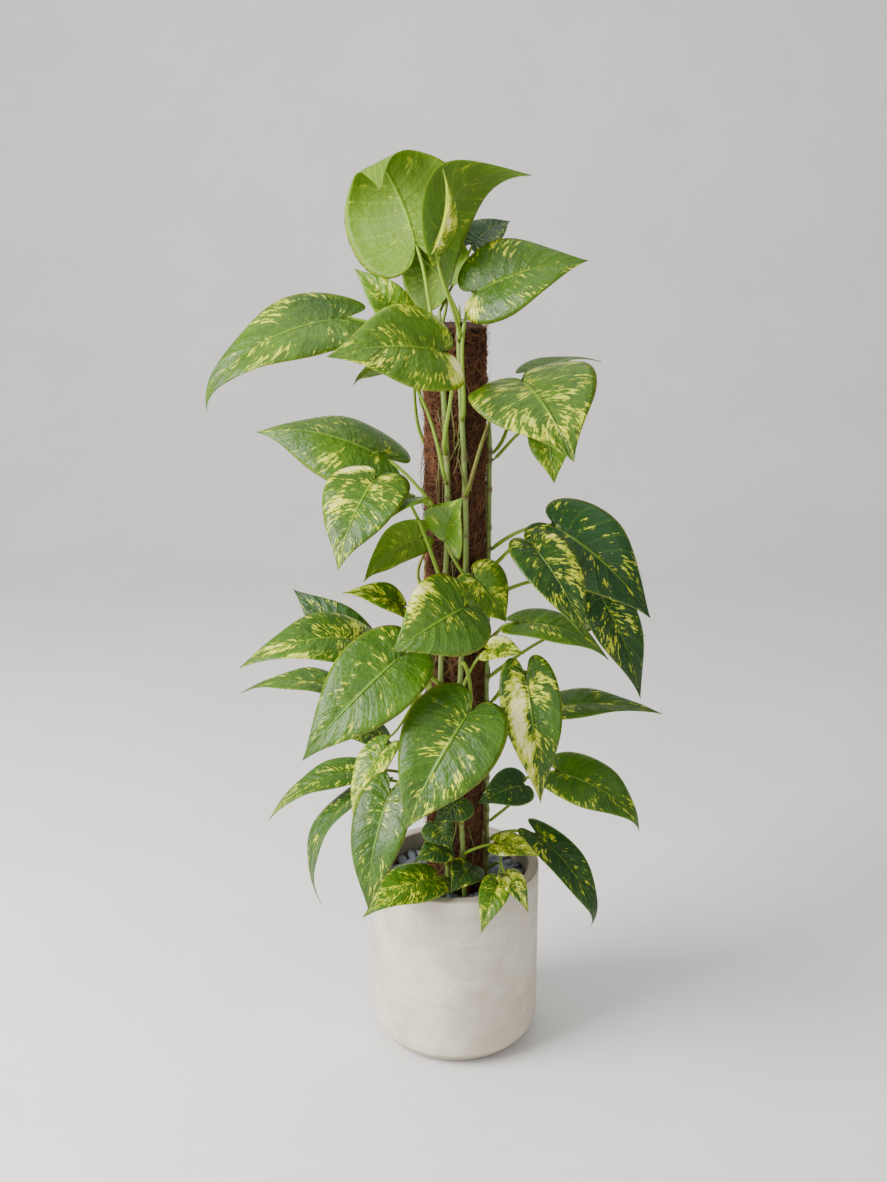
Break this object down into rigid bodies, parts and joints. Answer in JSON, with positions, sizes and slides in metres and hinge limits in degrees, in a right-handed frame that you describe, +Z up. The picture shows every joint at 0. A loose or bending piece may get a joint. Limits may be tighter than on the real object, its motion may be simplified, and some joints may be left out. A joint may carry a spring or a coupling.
{
  "type": "potted climbing pothos",
  "caption": "Golden pothos climbing a coir pole in a round pale concrete planter topped with slate pebbles.",
  "frame": {"origin": "centre of the planter's flat base, on the floor", "axes": "+Z up along the planter and the pole, -Y towards the front of the plant, +X to its right as seen from the front"},
  "size_m": [0.6175, 0.3387, 1.26],
  "materials": {
    "pale_concrete": "fair-faced pale concrete, matt, faint horizontal streaks",
    "potting_mix": "moist dark potting mix",
    "slate_pebble": "blue-grey slate, matt",
    "coir_fibre": "red-brown coconut fibre, coarse and shaggy",
    "green_stem": "smooth green stem with brown nodes",
    "crown_leaf": "waxy satin leaf, green with streaks of yellow and cream",
    "upper_leaf": "waxy satin leaf, green with streaks of yellow and cream",
    "middle_leaf": "waxy satin leaf, green with streaks of yellow and cream",
    "lower_leaf": "waxy satin leaf, green with streaks of yellow and cream",
    "rim_leaf": "waxy satin leaf, green with streaks of yellow and cream"
  },
  "bodies": {
    "root": {"pot": "pale_concrete", "soil": "potting_mix", "pebble_layer": "slate_pebble", "coir_pole": "coir_fibre", "vine_front_left": "green_stem", "vine_front_right": "green_stem", "vine_right": "green_stem", "vine_back_left": "green_stem", "leaf_crown_left": "crown_leaf", "leaf_crown_right": "crown_leaf", "leaf_crown_new": "crown_leaf", "leaf_crown_back": "crown_leaf", "leaf_crown_far": "crown_leaf", "leaf_upper_right": "upper_leaf", "leaf_upper_left_long": "upper_leaf", "leaf_upper_left_back": "upper_leaf", "leaf_upper_front": "upper_leaf", "leaf_upper_left_low": "upper_leaf", "leaf_upper_right_front": "upper_leaf", "leaf_upper_right_under": "upper_leaf", "leaf_upper_right_back": "upper_leaf", "leaf_middle_left_under": "middle_leaf", "leaf_middle_left_front": "middle_leaf", "leaf_middle_left_inner": "middle_leaf", "leaf_middle_front_folded": "middle_leaf", "leaf_middle_left_lower": "middle_leaf", "leaf_middle_front": "middle_leaf", "leaf_middle_front_small": "middle_leaf", "leaf_middle_left_small": "middle_leaf", "leaf_middle_right_top": "middle_leaf", "leaf_middle_right_front": "middle_leaf", "leaf_middle_right_low": "middle_leaf", "leaf_middle_right_flat": "middle_leaf", "leaf_middle_right_back": "middle_leaf", "leaf_middle_right_small": "middle_leaf", "leaf_lower_left_streaked": "lower_leaf", "leaf_lower_left_back": "lower_leaf", "leaf_lower_left_inner": "lower_leaf", "leaf_lower_left_big": "lower_leaf", "leaf_lower_left_narrow": "lower_leaf", "leaf_lower_front": "lower_leaf", "leaf_lower_right_cream": "lower_leaf", "leaf_lower_right_level": "lower_leaf", "leaf_lower_right_arched": "lower_leaf", "leaf_lower_right_inner": "lower_leaf", "leaf_lower_front_inner": "lower_leaf", "leaf_lower_left_thin": "lower_leaf", "leaf_lower_left_yellow": "lower_leaf", "leaf_lower_left_curved": "lower_leaf", "leaf_lower_left_hanging": "lower_leaf", "leaf_lower_left_under": "lower_leaf", "leaf_rim_left": "rim_leaf", "leaf_rim_inner_upper": "rim_leaf", "leaf_rim_inner_lower": "rim_leaf", "leaf_rim_front_left": "rim_leaf", "leaf_rim_front_middle": "rim_leaf", "leaf_rim_front_yellow": "rim_leaf", "leaf_rim_front_streaked": "rim_leaf", "leaf_rim_right_yellow": "rim_leaf", "leaf_rim_right_long": "rim_leaf"}
  },
  "joints": []
}
